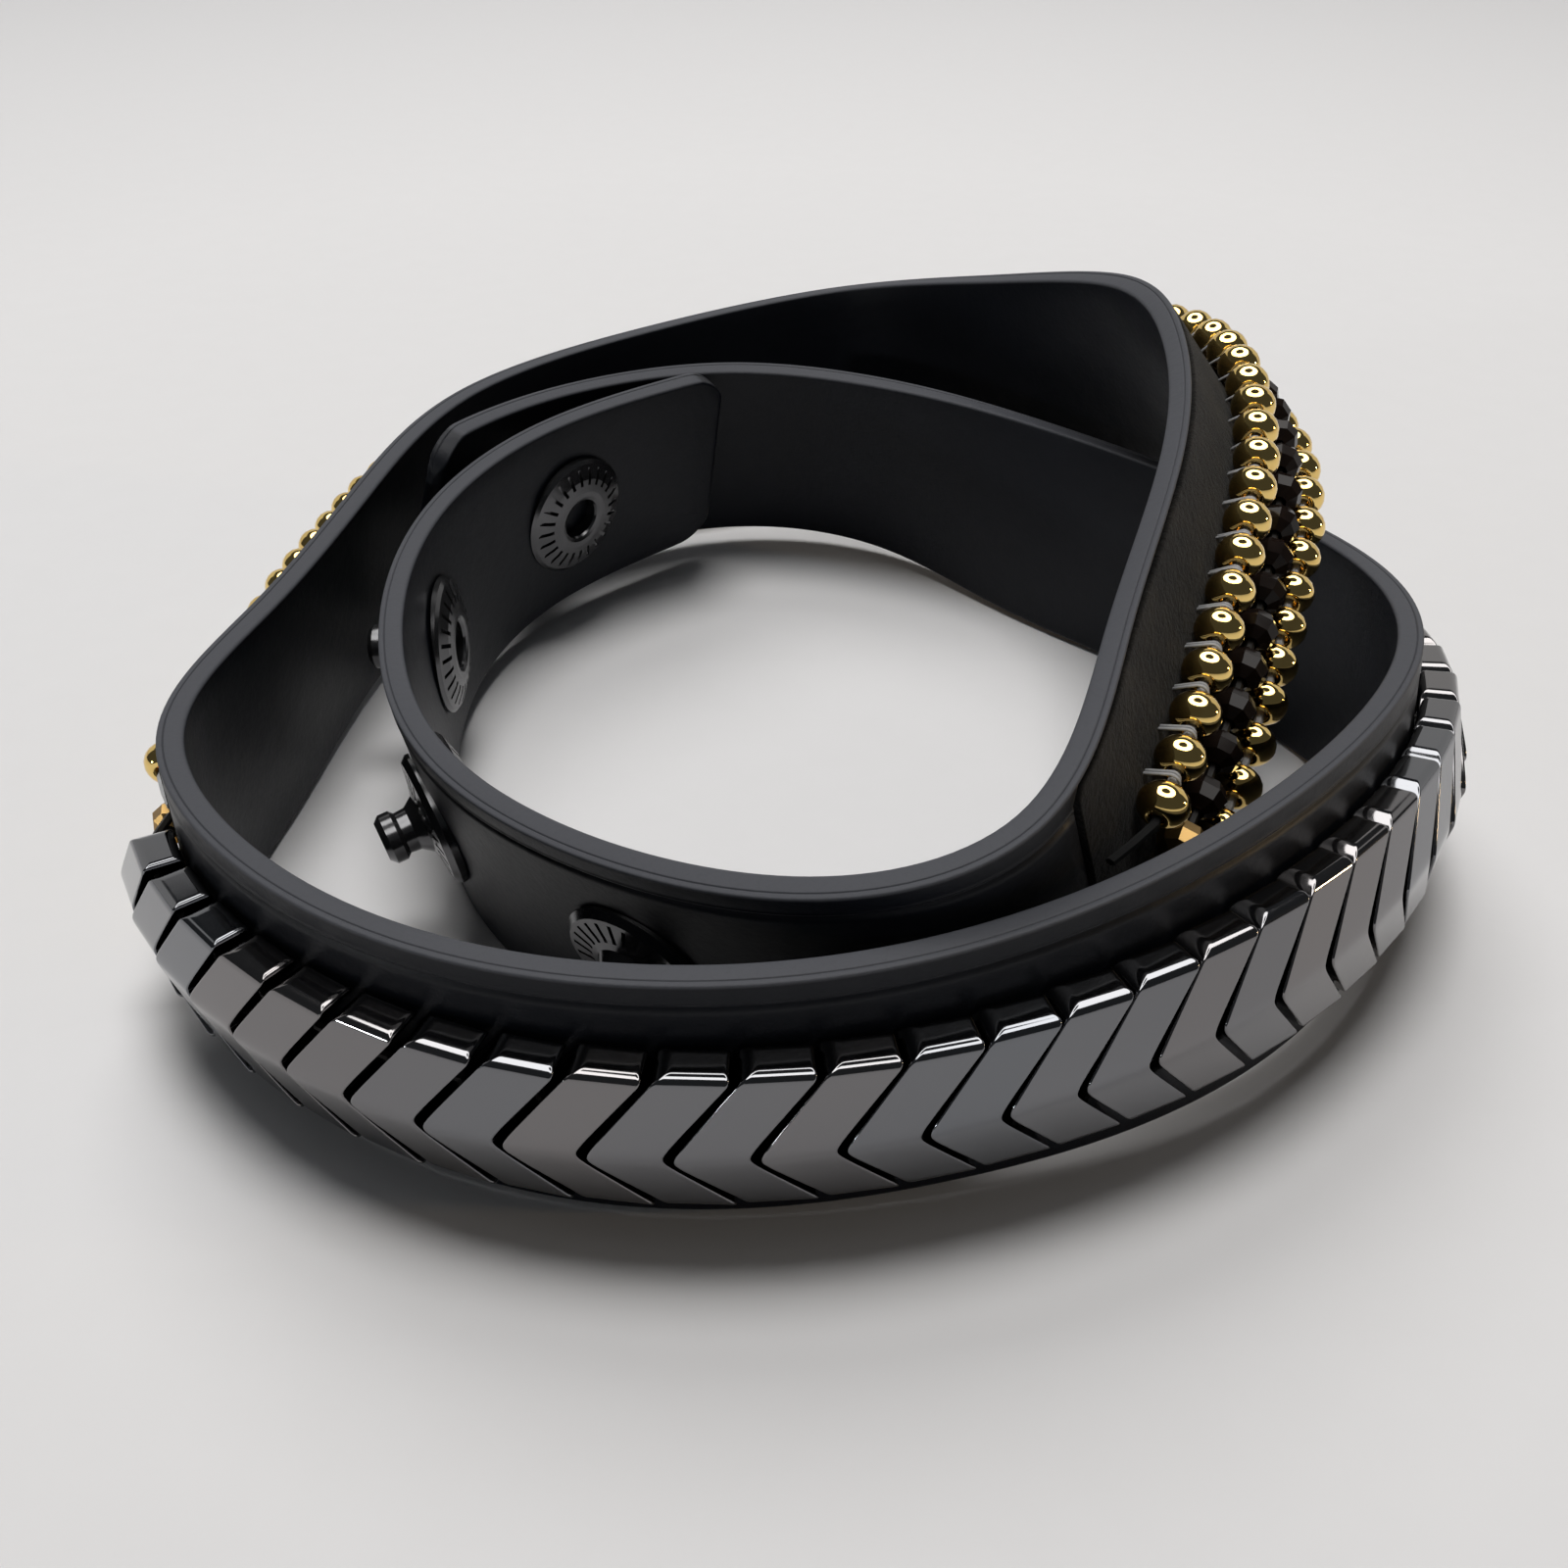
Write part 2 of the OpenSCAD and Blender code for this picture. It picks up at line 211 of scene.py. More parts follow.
def sweepTree():
    # draws a closed section along the strap, narrower and thinner in its rounded ends
    start = newTree("sweepSection", {
        "Path": "Object", "From": "Float", "To": "Float", "Rings": "Int", "Points": "Int",
        "Half Width": "Float", "End Radius": "Float", "Lip": "Float", "Bed From": "Float", "Bed To": "Float",
        "Bed Depth": "Float", "Bed Low": "Float", "Bed High": "Float", "Material": "Material"})
    size = start.other
    grid = start.node("GeometryNodeMeshGrid", None, {
        "Size X": 1.0, "Size Y": 1.0, "Vertices X": size("Rings"), "Vertices Y": size("Points") + 1})
    place = start.node("GeometryNodeInputPosition")
    part = start.node("ShaderNodeSeparateXYZ", None, {0: place})
    x = part + 0.5
    turn = (part.other("Y") + 0.5) * size("Points")
    index = turn.maths("MODULO", turn.maths("ROUND", turn), size("Points"))
    section = start.node("GeometryNodeSampleIndex", {"data_type": "FLOAT_VECTOR", "domain": "POINT"},
                         {"Geometry": start, "Value": place, "Index": index})
    drawn = start.node("ShaderNodeSeparateXYZ", None, {0: section})
    w, h = drawn, drawn.other("Y")

    # finer rings in both ends, which take this share of the rings each
    share = 0.024
    near = x.maths("MINIMUM", x, 1 - x) / share
    half = (size("To") - size("From")) / 2
    rounded = size("End Radius") * (1 - near.maths("COSINE", near.maths("MINIMUM", near, 1) * (math.pi / 2)))
    beyond = near.maths("MAXIMUM", near - 1, 0) * (share / (0.5 - share)) * (half - size("End Radius"))
    depth = rounded + beyond
    second = x.maths("GREATER_THAN", x, 0.5)
    distance = (size("From") + depth) * (1 - second) + (size("To") - depth) * second
    left = x.maths("MAXIMUM", size("End Radius") - depth, 0)
    drawIn = size("End Radius") - x.maths("SQRT", size("End Radius") * size("End Radius") - left * left)
    thin = x.maths("MAXIMUM", 1 - depth / size("Lip"), 0)
    thin = x.maths("SQRT", 1 - thin * thin)
    w = w * ((size("Half Width") - drawIn) / size("Half Width"))
    bedAlong = distance.between(size("Bed From"), size("Bed To"), 0.3)
    bedAcross = w.between(size("Bed Low"), size("Bed High"), 0.12)
    bedOut = h.maths("GREATER_THAN", h, 0)
    h = (h - size("Bed Depth") * (bedAlong * bedAcross) * bedOut) * thin
    spot = placeOn(pathOf(start), distance, w, h)[0]
    # the values are kept first, because the grid's own places are read for all of them
    kept = grid
    for name, value in (("along", distance), ("across", w), ("outward", h)):
        kept = kept.node("GeometryNodeStoreNamedAttribute", {"data_type": "FLOAT", "domain": "POINT"},
                         {"Geometry": kept, "Name": name, "Value": value})
    moved = kept.node("GeometryNodeSetPosition", None, {"Geometry": kept, "Position": spot})
    joined = moved.node("GeometryNodeMergeByDistance", None, {"Geometry": moved, "Distance": 2e-6})
    smooth = joined.node("GeometryNodeSetShadeSmooth", None, {"Geometry": joined, "Shade Smooth": True})
    return endTree(smooth, size("Material"))


def rowTree():
    # strings one piece on every point of a table: x is the distance, y the place across, z the height
    start = newTree("stringRow", {
        "Path": "Object", "Piece": "Object", "Play": "Float", "Turn": "Float", "Seed": "Int",
        "Material": "Material"})
    size = start.other
    listed = start.node("ShaderNodeSeparateXYZ", None, {0: start.node("GeometryNodeInputPosition")})
    chance = start.node("FunctionNodeRandomValue", {"data_type": "FLOAT_VECTOR"},
                        {0: (-1, -1, -1), 1: (1, 1, 1), "Seed": size("Seed")})
    part = start.node("ShaderNodeSeparateXYZ", None, {0: chance})
    spot, along, side, out = placeOn(pathOf(start), listed, listed.other("Y") + part * size("Play"),
                                     listed.other("Z") + part.other("Y") * size("Play") * 0.5)
    turned = out.vector("ADD", out, side.scaled(part.other("Z") * size("Turn")))
    facing = start.node("FunctionNodeAxesToRotation", {"primary_axis": "X", "secondary_axis": "Z"},
                        {"Primary Axis": along, "Secondary Axis": turned})
    # all that reads the table is kept before the points move
    kept = start.node("GeometryNodeStoreNamedAttribute", {"data_type": "FLOAT", "domain": "POINT"},
                      {"Geometry": start, "Name": "chance", "Value": part.other("Z")})
    kept = kept.node("GeometryNodeStoreNamedAttribute", {"data_type": "QUATERNION", "domain": "POINT"},
                     {"Geometry": kept, "Name": "facing", "Value": facing})
    moved = kept.node("GeometryNodeSetPosition", None, {"Geometry": kept, "Position": spot})
    read = start.node("GeometryNodeInputNamedAttribute", {"data_type": "QUATERNION"}, {"Name": "facing"})
    piece = start.node("GeometryNodeObjectInfo", {"transform_space": "ORIGINAL"},
                       {"Object": size("Piece"), "As Instance": True}, "Geometry")
    placed = start.node("GeometryNodeInstanceOnPoints", None,
                        {"Points": moved, "Instance": piece, "Rotation": read})
    return endTree(placed, size("Material"))


def newFinish(name, **fixed):
    material = bpy.data.materials.new(name)
    material.use_nodes = True
    surface = next(n for n in material.node_tree.nodes if n.type == "BSDF_PRINCIPLED")
    for key, value in fixed.items():
        surface.inputs[key].default_value = value
    return material, surface, Wire(material.node_tree)


def feed(surface, key, wire):
    wire.tree.links.new(wire.socket, surface.inputs[key])


def mixed(factor, first, second):
    # colours: either may be a tuple or a wire
    first = first if isinstance(first, Wire) else tuple(first) + (1,)
    second = second if isinstance(second, Wire) else tuple(second) + (1,)
    return factor.node("ShaderNodeMix", {"data_type": "RGBA"}, {0: factor, 6: first, 7: second}, 2)


def bumped(surface, height, strength, distance):
    feed(surface, "Normal", height.node("ShaderNodeBump", None, {
        "Strength": strength, "Distance": distance, "Height": height}))


def attribute(wire, name):
    return wire.node("ShaderNodeAttribute", {"attribute_name": name}, None, "Fac")


def noise(wire, scale, detail=2.0, vector=None, rough=0.5):
    vector = vector or wire.node("ShaderNodeTexCoord", None, None, "Object")
    return wire.node("ShaderNodeTexNoise", None, {
        "Vector": vector, "Scale": scale, "Detail": detail, "Roughness": rough})


def strapFinish():
    # smooth black skin, with a lighter matt cut edge that has a fine seam near its outer side
    look = {"skin": (0.003, 0.0042, 0.0078), "worn": (0.007, 0.0085, 0.0135), "edge": (0.058, 0.06, 0.069)}
    material, surface, wire = newFinish("strapFinish", **{"Specular IOR Level": 0.2})
    across, along, out = (attribute(wire, name) for name in ("across", "along", "outward"))
    onStrap = wire.node("ShaderNodeCombineXYZ", None, {0: along, 1: across, 2: out})
    grain = noise(wire, 3.2, 4.0, onStrap, 0.6)
    cloud = noise(wire, 0.09, 3.0, onStrap)
    rim = across.maths("ABSOLUTE", across).between(7.3, 20, 0.12)
    seam = out.between(0.3, 0.4, 0.05)
    colour = mixed((cloud - 0.45).clamped() * 2, look["skin"], look["worn"])
    colour = mixed(rim * (0.75 + grain * 0.5) * (1 - seam * 0.6), colour, look["edge"])
    feed(surface, "Base Color", colour)
    feed(surface, "Roughness", 0.38 + grain * 0.1 + rim * 0.18)
    bumped(surface, grain + noise(wire, 0.6, 2.0, onStrap) * 2, 0.25, 0.00006)
    return material


def suedeFinish():
    look = {"dark": (0.0025, 0.0022, 0.002), "light": (0.022, 0.0185, 0.0145)}
    material, surface, wire = newFinish("suedeFinish", **{"Sheen Weight": 0.08, "Sheen Roughness": 0.5,
                                                          "Specular IOR Level": 0.08})
    nap = noise(wire, 2600, 5.0, None, 0.7)
    brushed = noise(wire, 330, 3.0, None, 0.6)
    colour = mixed(((brushed - 0.38) * 2.6).clamped() * (0.4 + nap * 0.9), look["dark"], look["light"])
    feed(surface, "Base Color", colour)
    feed(surface, "Roughness", 0.8 + nap * 0.2)
    bumped(surface, nap, 0.9, 0.0002)
    return material


def stoneFinish():
    # plated stone: dark mirror with a slightly different tint on each
    look = {"cool": (0.165, 0.172, 0.185), "warm": (0.2, 0.19, 0.19)}
    material, surface, wire = newFinish("stoneFinish", Metallic=1.0)
    chance = attribute(wire, "chance")
    cloud = noise(wire, 300, 3.0)
    colour = mixed((chance * 0.5 + 0.5 + (cloud - 0.5) * 0.2).clamped(), look["cool"], look["warm"])
    feed(surface, "Base Color", colour)
    feed(surface, "Roughness", 0.06 + noise(wire, 1500, 3.0) * 0.05)
    bumped(surface, noise(wire, 200, 2.0), 0.06, 0.0002)
    return material


def goldFinish():
    look = {"bright": (0.86, 0.62, 0.22), "deep": (0.7, 0.44, 0.14)}
    material, surface, wire = newFinish("goldFinish", Metallic=1.0)
    tarnish = noise(wire, 900, 4.0)
    colour = mixed(((tarnish - 0.5) * 3).clamped(), look["bright"], look["deep"])
    feed(surface, "Base Color", colour)
    feed(surface, "Roughness", 0.035 + tarnish * 0.05)
    bumped(surface, noise(wire, 700, 3.0), 0.1, 0.0001)
    return material


def darkBeadFinish():
    # black glass, except the plated beads at both ends of the row
    look = {"black": (0.006, 0.005, 0.005), "brown": (0.018, 0.011, 0.008), "plated": (0.3, 0.19, 0.07)}
    material, surface, wire = newFinish("darkBeadFinish", **{"Specular IOR Level": 0.13})
    cloud = noise(wire, 800, 2.0)
    plated = attribute(wire, "plated")
    feed(surface, "Base Color", mixed(plated, mixed(cloud, look["black"], look["brown"]), look["plated"]))
    feed(surface, "Metallic", plated * (0.9 + cloud * 0.1))
    feed(surface, "Roughness", 0.06 + cloud * 0.08 + plated * 0.2)
    return material


def snapFinish():
    material, surface, wire = newFinish("snapFinish", Metallic=0.85, **{"Specular IOR Level": 0.5})
    cloud = noise(wire, 500, 3.0)
    feed(surface, "Base Color", mixed(cloud, (0.07, 0.07, 0.073), (0.12, 0.12, 0.124)))
    feed(surface, "Roughness", 0.12 + cloud * 0.12)
    bumped(surface, noise(wire, 1600, 2.0), 0.1, 0.00005)
    return material


def threadFinish(name, pale, deep):
    # waxed thread; its short loose end in front of the last bead is painted near black and rough, as painted
    # shade there
    look = {"tailShade": (0.01, 0.01, 0.01), "tailFrom": -0.0274, "tailSoft": 0.0004}
    material, surface, wire = newFinish(name, **{"Specular IOR Level": 0.15})
    fibre = noise(wire, 4200, 3.0)
    place = wire.node("ShaderNodeTexCoord", None, None, "Object")
    x = place.node("ShaderNodeSeparateXYZ", None, {0: place})
    toFront = ((look["tailFrom"] - x.other("Y")) / look["tailSoft"]).clamped()
    inTailShade = toFront * x.maths("GREATER_THAN", x, 0)
    # painted shade: the loose end in front of the last bead gets a near black colour
    feed(surface, "Base Color", mixed(inTailShade, mixed(fibre, deep, pale), look["tailShade"]))
    feed(surface, "Roughness", 0.5 + inTailShade * 0.4)
    bumped(surface, fibre, 0.4, 0.00005)
    return material


def floorFinish():
    # pale paper, with painted shade that makes it darker away from the middle, as a painted falloff of the
    # light
    look = {"low": (0.735, 0.725, 0.725), "high": (0.775, 0.765, 0.768), "far": (0.56, 0.555, 0.56)}
    material, surface, wire = newFinish("floorFinish", **{"Specular IOR Level": 0.1})
    speck = noise(wire, 300, 4.0)
    broad = noise(wire, 3.0, 2.0)
    place = wire.node("ShaderNodeTexCoord", None, None, "Object")
    away = place.vector("LENGTH", place.vector("SUBTRACT", place, (0, 0.06, 0)), out="Value")
    colour = mixed(speck * 0.5 + broad * 0.5, look["low"], look["high"])
    # painted shade: the paper's colour falls towards the darker shade colour with distance from the middle
    feed(surface, "Base Color", mixed(((away - 0.1) / 0.3).clamped(), colour, look["far"]))
    feed(surface, "Roughness", 0.7 + speck * 0.1)
    return material


path = makePath()
sweep = sweepTree()
row = rowTree()
# one finish for each slot, and one for the floor
finish = {"strap": strapFinish(), "suede": suedeFinish(), "stone": stoneFinish(), "gold": goldFinish(),
          "dark_bead": darkBeadFinish(), "snap": snapFinish(), "floor": floorFinish(),
          "pale_thread": threadFinish("paleThreadFinish", (0.5, 0.5, 0.5), (0.25, 0.25, 0.26)),
          "dark_thread": threadFinish("darkThreadFinish", (0.02, 0.018, 0.016), (0.008, 0.007, 0.006))}
print("stage: path, trees and finishes")


def roundCorners(corners, steps=4):
    # columns: across, outward, radius
    outline = []
    for i, (x, y, r) in enumerate(corners):
        corner = Vector((x, y))
        before = (Vector(corners[i - 1][:2]) - corner)
        after = (Vector(corners[(i + 1) % len(corners)][:2]) - corner)
        reach = min(r, before.length * 0.49, after.length * 0.49)
        a = corner + before.normalized() * reach
        b = corner + after.normalized() * reach
        for k in range(steps + 1) if r > 0 else [0]:
            t = k / steps
            outline.append(a * (1 - t) ** 2 + corner * 2 * t * (1 - t) + b * t * t if r > 0 else corner)
    return outline


def spreadPoints(outline, longest):
    # extra points on long straight stretches, so that the skin bends evenly
    points = []
    for i, a in enumerate(outline):
        b = outline[(i + 1) % len(outline)]
        n = max(1, math.ceil((b - a).length / longest))
        points += [a.lerp(b, k / n) for k in range(n)]
    return points


strap = {"width": 15, "thickness": 1.4, "endRadius": 3, "rings": 620, "bedFrom": 178, "bedTo": 344.5,
         "bedDepth": 0.55, "groove": 6.2, "corner": 0.25,
         "seamLow": 0.29, "seamHigh": 0.41, "seamDepth": 0.06}


def makeStrap():
    half = strap["width"] / 2
    t = strap["thickness"] / 2
    groove = strap["groove"]
    r = strap["corner"]
    low, high = strap["seamLow"], strap["seamHigh"]
    # columns: across, outward, radius
    outline = spreadPoints(roundCorners([
        (half, t, r), (groove + 0.35, t, 0.1), (groove + 0.2, t + 0.05, 0.08), (groove, t - 0.2, 0.1),
        (groove - 0.3, t, 0.2), (-half, t, r), (-half, -t, r), (half, -t, r),
        (half, low, 0.03), (half - strap["seamDepth"], (low + high) / 2, 0.03), (half, high, 0.03)]), 1.4)
    seed = meshFrom("strapSection", [(p.x, p.y, 0) for p in outline])
    piece = grow("strapSkin", seed, sweep, {
        "Path": path, "From": 0.0, "To": strapLength, "Rings": strap["rings"], "Points": len(outline),
        "Half Width": half, "End Radius": strap["endRadius"], "Lip": 0.5, "Bed From": strap["bedFrom"],
        "Bed To": strap["bedTo"], "Bed Depth": strap["bedDepth"], "Bed Low": -7.1, "Bed High": 7.15,
        "Material": finish["strap"]})
    outward(piece)
    return piece


suede = {"halfWidth": 6.97, "low": 0.19, "high": 0.74, "rings": 420, "inset": 0.4}


def makeSuede():
    c, low, high = suede["halfWidth"], suede["low"], suede["high"]
    outline = spreadPoints(roundCorners([(c, low, 0), (c, high, 0.2), (-c, high, 0.2), (-c, low, 0)]), 0.7)
    seed = meshFrom("suedeSection", [(p.x, p.y, 0) for p in outline])
    piece = grow("suedePanel", seed, sweep, {
        "Path": path, "From": strap["bedFrom"] + suede["inset"], "To": strap["bedTo"] - suede["inset"],
        "Rings": suede["rings"], "Points": len(outline), "Half Width": 7.0, "End Radius": 0.8, "Lip": 0.02,
        "Bed From": -9.0, "Bed To": -8.0, "Bed Depth": 0.0, "Bed Low": 0.0, "Bed High": 1.0,
        "Material": finish["suede"]})
    outward(piece)
    return piece


def measurePath():
    graph = bpy.context.evaluated_depsgraph_get()
    drawn = path.evaluated_get(graph).to_mesh()
    points = [v.co.copy() for v in drawn.vertices]
    return sum((b - a).length for a, b in zip(points, points[1:])) / mm


strapLength = measurePath()
print("strap length", round(strapLength, 1))
strapPiece = makeStrap()
suedePiece = makeSuede()
print("stage: strap and suede")


stone = {"count": 30, "pitch": 3.39, "width": 3.15, "height": 8.5, "lead": 3.2, "thick": 2.85, "fall": 0.217,
         "first": 176, "lift": 0.86, "longEdge": 0.1, "endTop": 0.42, "endSide": 0.5, "flare": 0.045,
         "ridge": 0.3, "support": 0.04}


def rounding(away, radius):
    # how far a rounded end has drawn its skin in, this far away from the end
    left = max(0, radius - away)
    return radius - math.sqrt(radius * radius - left * left)


def makeStone():
    # rounded rectangles in slices across the strap, bent to a chevron with a low ridge
    half = stone["width"] / 2
    end = stone["height"] / 2
    ridge = stone["ridge"]
    aways = [stone["endTop"] * (1 - math.cos(math.radians(a))) for a in (0, 14, 28, 42, 56, 72, 90)] + [0.52]
    upper = [end - away for away in aways] + [2.6, 1.4, 0.9, 0.6, 0.35, 0.15]
    slices = upper + [0] + [-y for y in reversed(upper)]
    points = []
    faces = []

    def addRing(y, shrink):
        away = end - abs(y)
        reach = math.sqrt(y * y + ridge ** 2) - ridge
        wide = half - rounding(away, stone["endSide"])
        top = stone["thick"] - stone["fall"] * reach
        high = top - rounding(away, stone["endTop"])
        low = rounding(away, stone["endSide"])
        r = stone["longEdge"]
        outline = roundCorners([(wide, high, r), (-wide, high, r), (-wide, low, r), (wide, low, r)])
        slide = stone["lead"] / 2 - stone["lead"] * reach / (end - ridge)
        middleZ = (low + high) / 2
        ring = []
        for k, p in enumerate(outline):
            # a support point stands beside each rounding, so that the flat faces stay flat
            after = outline[(k + 1) % len(outline)]
            ring.append(p)
            if (after - p).length > 0.6:
                step = (after - p).normalized() * stone["support"]
                ring += [p + step, after - step]
        first = len(points)
        for p in ring:
            x = p.x * shrink * (1 + stone["flare"] * p.y / stone["thick"])
            points.append(((slide + x) * mm, y * mm, (middleZ + (p.y - middleZ) * shrink) * mm))
        return list(range(first, len(points)))

    rings = [addRing(end, 0.9)] + [addRing(y, 1) for y in slices] + [addRing(-end, 0.9)]
    n = len(rings[0])
    for a, b in zip(rings, rings[1:]):
        faces += [(a[k], a[(k + 1) % n], b[(k + 1) % n], b[k]) for k in range(n)]
    faces += [tuple(rings[0]), tuple(reversed(rings[-1]))]
    one = addObject("oneStone", meshFrom("stone", points, faces))
    outward(one)
    one.data.polygons.foreach_set("use_smooth", [True] * len(one.data.polygons))
    return one


def stringPieces(name, one, table, slot, play, turn, seed):
    # table columns: distance, place across, height, plated
    seedMesh = meshFrom(name + "Points", [line[:3] for line in table])
    plated = seedMesh.attributes.new("plated", "FLOAT", "POINT")
    plated.data.foreach_set("value", [line[3] for line in table])
    return grow(name, seedMesh, row, {
        "Path": path, "Piece": one, "Play": play, "Turn": turn, "Seed": seed, "Material": finish[slot]})


oneStone = makeStone()
stoneTable = [(stone["first"] - i * stone["pitch"] + stone["lead"] / 2, 0, stone["lift"], 0)
              for i in range(stone["count"])]
stonePiece = stringPieces("chevronStones", oneStone, stoneTable, "stone", 0.0, 0.0, 7)
bpy.data.objects.remove(oneStone)
print("stage: stones")


bead = {"count": 56, "pitch": 2.79, "size": 2.6, "length": 2.14, "height": 2.1, "hole": 0.9}


def makeBead(name, around, bands, facets):
    # turned about the thread hole, which runs along x
    r = bead["size"] / 2
    long = bead["length"] / 2
    hole = bead["hole"] / 2
    first = math.asin(hole / r)
    outline = [(-long * math.cos(a), r * math.sin(a)) for a in
               [first + (math.pi - 2 * first) * k / bands for k in range(bands + 1)]]
    outline = outline + [(r * 0.6, hole * 0.9), (-r * 0.6, hole * 0.9)]
    points = []
    faces = []
    n = len(outline)
    for i in range(around):
        a = 2 * math.pi * (i + 0.5) / around
        points += [(x * mm, q * math.cos(a) * mm, q * math.sin(a) * mm) for x, q in outline]
        here, there = i * n, (i + 1) % around * n
        faces += [(here + k, here + (k + 1) % n, there + (k + 1) % n, there + k) for k in range(n)]
    mesh = meshFrom(name, points, faces)
    one = addObject(name, mesh)
    outward(one)
    mesh.polygons.foreach_set("use_smooth", [not facets] * len(mesh.polygons))
    return one


# distances at which a row's place across the strap is given, then the rows:
# name, slot, distance of the last bead, place across at each mark
rowMarks = [185, 203, 300, 337]
beadRows = [("goldBeadsUpper", "gold", 339.5, (2.2, 4.2, 2.7, 1.6)),
            ("goldBeadsLower", "gold", 338.4, (-4.2, -1.4, -2.8, -4.8)),
            ("darkBeads", "dark_bead", 338.9, (-1.2, 1.4, 0, -1.8))]


def placeAcross(places, distance):
    # straight between the marks, level beyond them
    distance = max(rowMarks[0], min(rowMarks[-1], distance))
    for k in range(len(rowMarks) - 1):
        if distance <= rowMarks[k + 1]:
            share = (distance - rowMarks[k]) / (rowMarks[k + 1] - rowMarks[k])
            return places[k] + (places[k + 1] - places[k]) * share


def beadTable(last, places, between=0):
    # between = 0.5 gives the gaps instead of the beads
    table = []
    for i in range(bead["count"] - (1 if between else 0)):
        distance = last - (bead["count"] - 1 - i - between) * bead["pitch"]
        ends = 1 if i in (0, bead["count"] - 1) else 0
        table.append((distance, placeAcross(places, distance), bead["height"], ends))
    return table


roundBead = makeBead("roundBead", 20, 10, False)
cutBead = makeBead("cutBead", 9, 4, True)
beadPieces = []
for seed, (name, slot, last, places) in enumerate(beadRows):
    one = roundBead if slot == "gold" else cutBead
    beadPieces.append(stringPieces(name, one, beadTable(last, places), slot, 0.05, 0.5, seed + 3))
bpy.data.objects.remove(roundBead)
bpy.data.objects.remove(cutBead)
print("stage: beads")


stitch = {"reach": 0.42, "tuck": 0.33, "leg": 1.42, "thick": 0.06, "wide": 0.1, "apart": 0.13,
          "stagger": 0.04, "slant": 0.12, "from": -88, "to": 62, "steps": 8}


def makeStitch():
    # two flat strands that rise from the suede, bend over and end on the thread between two beads
    points = []
    faces = []
    for side in (-1, 1):
        rings = []
        for k in range(-1, stitch["steps"] + 1):
            share = max(k, 0) / stitch["steps"]
            turn = math.radians(stitch["from"] + (stitch["to"] - stitch["from"]) * share)
            drop = stitch["leg"] if k < 0 else 0
            reach = stitch["reach"] + (stitch["tuck"] - stitch["reach"]) * share + side * stitch["stagger"]
            middleX = side * stitch["apart"] + stitch["slant"] * math.sin(turn)
            rings.append(len(points))
            for a in range(0, 360, 60):
                away = reach + stitch["thick"] * math.cos(math.radians(a))
                x = middleX + stitch["wide"] * math.sin(math.radians(a))
                points.append((x * mm, away * math.sin(turn) * mm, (away * math.cos(turn) - drop) * mm))
        for a, b in zip(rings, rings[1:]):
            faces += [(a + k, a + (k + 1) % 6, b + (k + 1) % 6, b + k) for k in range(6)]
        faces += [tuple(range(rings[0] + 5, rings[0] - 1, -1)), tuple(range(rings[-1], rings[-1] + 6))]
    one = addObject("oneStitch", meshFrom("stitch", points, faces))
    outward(one)
    one.data.polygons.foreach_set("use_smooth", [True] * len(one.data.polygons))
    return one


oneStitch = makeStitch()
stitchTable = beadTable(beadRows[0][2], beadRows[0][3], 0.5)
stitchPiece = stringPieces("goldStitches", oneStitch, stitchTable, "pale_thread", 0.03, 0.1, 11)
bpy.data.objects.remove(oneStitch)
print("stage: stitches")

bpy.data.objects.remove(path)

nodeFinish = {"snap": ["snap_socket", "snap_cap"] + ["stud_%d" % i for i in range(1, 5)]
              + ["stud_cap_%d" % i for i in range(1, 5)],
              "pale_thread": ["gold_thread_upper", "gold_thread_lower"],
              "dark_thread": ["dark_thread", "chevron_thread_upper", "chevron_thread_lower"]}
for kind, names in nodeFinish.items():
    for name in names:
        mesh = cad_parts[name].data
        mesh.materials.clear()
        mesh.materials.append(finish[kind])

# columns: piece, slot, the nodes that it stands for
dressed = [(strapPiece, "strap", ["strap"]), (suedePiece, "suede", ["bead_panel"]),
           (stonePiece, "stone", ["chevron_%02d" % i for i in range(1, stone["count"] + 1)]),
           (beadPieces[0], "gold", ["gold_beads_upper"]), (beadPieces[1], "gold", ["gold_beads_lower"]),
           (beadPieces[2], "dark_bead", ["dark_beads"]), (stitchPiece, "pale_thread", [])]
for piece, slot, names in dressed:
    if names:
        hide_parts(*names)
    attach(piece, "root")


def glowing(name, points, faces, strength):
    # a lamp with a shape of its own, seen in reflections only
    shape = addObject(name, meshFrom(name, points, faces))
    glow = bpy.data.materials.new(name)
    glow.use_nodes = True
    glow.node_tree.nodes.clear()
    wire = Wire(glow.node_tree)
    shine = wire.node("ShaderNodeEmission", None, {"Color": (1, 0.985, 0.965, 1), "Strength": strength})
    wire.node("ShaderNodeOutputMaterial", None, {"Surface": shine})
    shape.data.materials.append(glow)
    shape.visible_camera = False
    shape.visible_diffuse = False
    return shape


def makeRing(look):
    # a ring lamp overhead that only shows in reflections
    rise = math.radians(look["rise"])
    centre = Vector((0, -math.cos(rise), math.sin(rise))) * look["reach"]
    right = Vector((1, 0, 0))
    up = (-centre.normalized()).cross(right)
    points = []
    faces = []
    n = 48
    for i in range(n):
        a = 2 * math.pi * i / n
        for radius in (look["outer"], look["hole"]):
            points.append(centre + (right * math.cos(a) + up * math.sin(a)) * radius)
        j = (i + 1) % n
        faces.append((2 * i, 2 * i + 1, 2 * j + 1, 2 * j))
    return glowing("lightRing", points, faces, look["strength"])


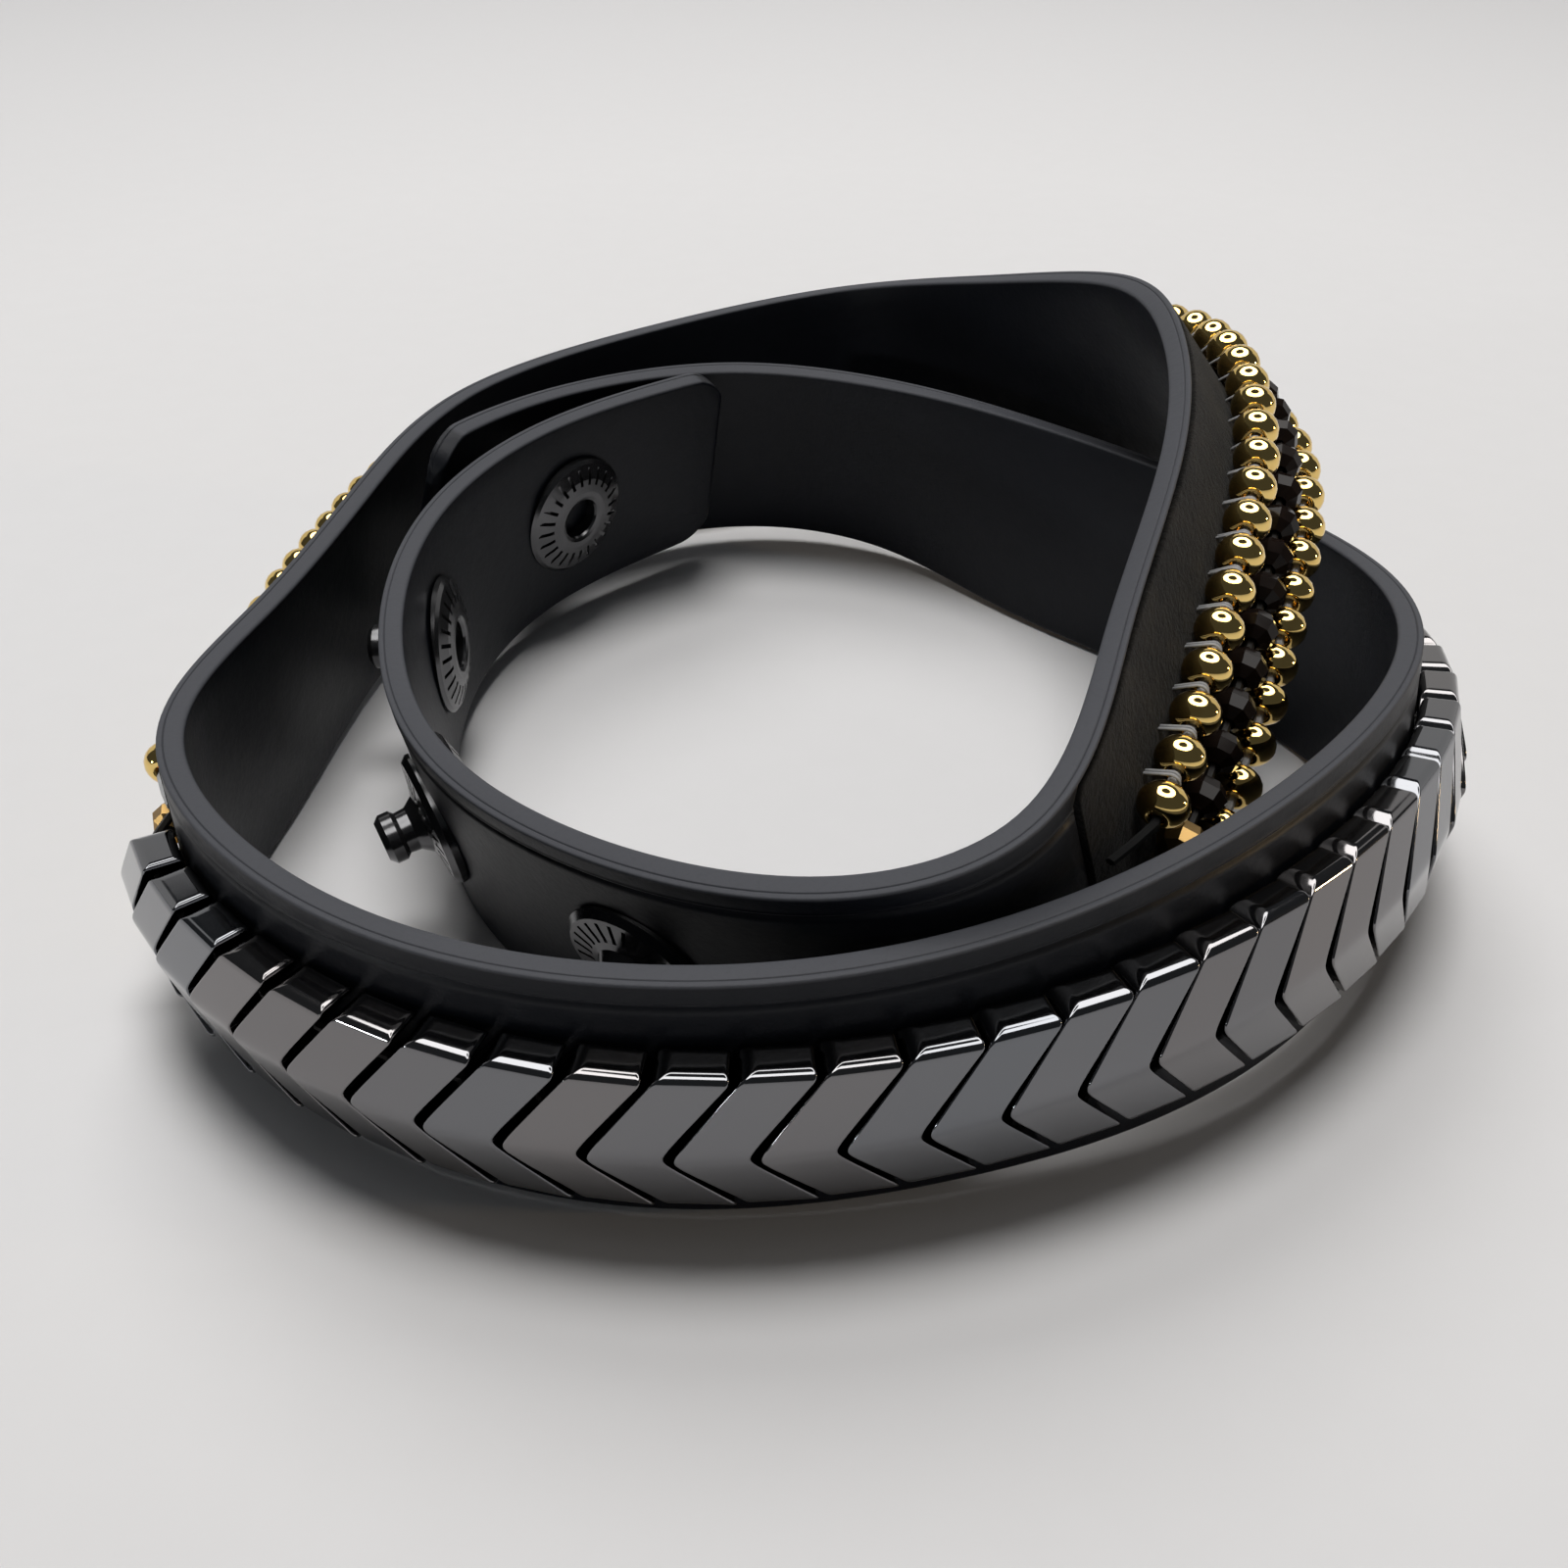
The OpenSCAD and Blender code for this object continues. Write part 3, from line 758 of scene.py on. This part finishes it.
def makeWall(look):
    # a low wall of light behind the bracelet that only shows in reflections
    points = []
    faces = []
    n = 32
    for i in range(n + 1):
        a = math.radians(look["from"] + (look["to"] - look["from"]) * i / n)
        for z in (0, look["height"]):
            points.append((look["reach"] * math.cos(a), look["reach"] * math.sin(a), z))
        if i < n:
            faces.append((2 * i, 2 * i + 1, 2 * i + 3, 2 * i + 2))
    return glowing("lightWall", points, faces, look["strength"])


def makeStage():
    half = 2.0
    corners = [(-half, -half, 0), (half, -half, 0), (half, half, 0), (-half, half, 0)]
    floor = addObject("floor", meshFrom("floor", corners, [(0, 1, 2, 3)]))
    floor.data.materials.append(finish["floor"])
    ring = makeRing({"outer": 1.15, "hole": 0.47, "reach": 1.6, "rise": 89, "strength": 5})
    wall = makeWall({"from": 15, "to": 165, "reach": 2.5, "height": 1.8, "strength": 0.6})

    # columns: name, place, width, power, colour, shows in reflections
    lamps = [("overheadLamp", (0, 0.08, 1.2), 0.55, 8.6, (1, 0.995, 0.985), False),
             ("farLamp", (-0.25, 1.0, 1.35), 1.0, 12.5, (1, 0.995, 0.985), False),
             ("warmLamp", (1.1, -0.1, 0.14), 0.09, 1.6, (1, 0.72, 0.4), True),
             ("coolLamp", (-1.0, -0.55, 0.16), 0.07, 1.1, (0.95, 0.98, 1), True)]
    for name, spot, width, power, colour, mirrored in lamps:
        lamp = bpy.data.lights.new(name, "AREA")
        lamp.shape = "DISK"
        lamp.size = width
        lamp.energy = power
        lamp.color = colour
        holder = addObject(name, lamp)
        holder.location = spot
        holder.rotation_euler = (-Vector(spot)).to_track_quat("-Z", "Y").to_euler()
        holder.visible_glossy = mirrored

    world = bpy.data.worlds.new("room")
    bpy.context.scene.world = world
    world.use_nodes = True
    back = next(n for n in world.node_tree.nodes if n.type == "BACKGROUND")
    back.inputs["Color"].default_value = (0.9, 0.95, 1, 1)
    back.inputs["Strength"].default_value = 0.06


def makeCamera():
    camera = bpy.data.cameras.new("camera")
    camera.lens = 37.92
    camera.sensor_width = 36
    camera.clip_start = 0.005
    camera.clip_end = 10
    holder = addObject("camera", camera)
    holder.location = (-0.00218, -0.09149, 0.06016)
    holder.rotation_euler = (math.radians(56.04), 0, 0)
    bpy.context.scene.camera = holder
    bpy.context.scene.view_settings.view_transform = "Standard"


makeStage()
makeCamera()
print("stage: floor, lights and camera")
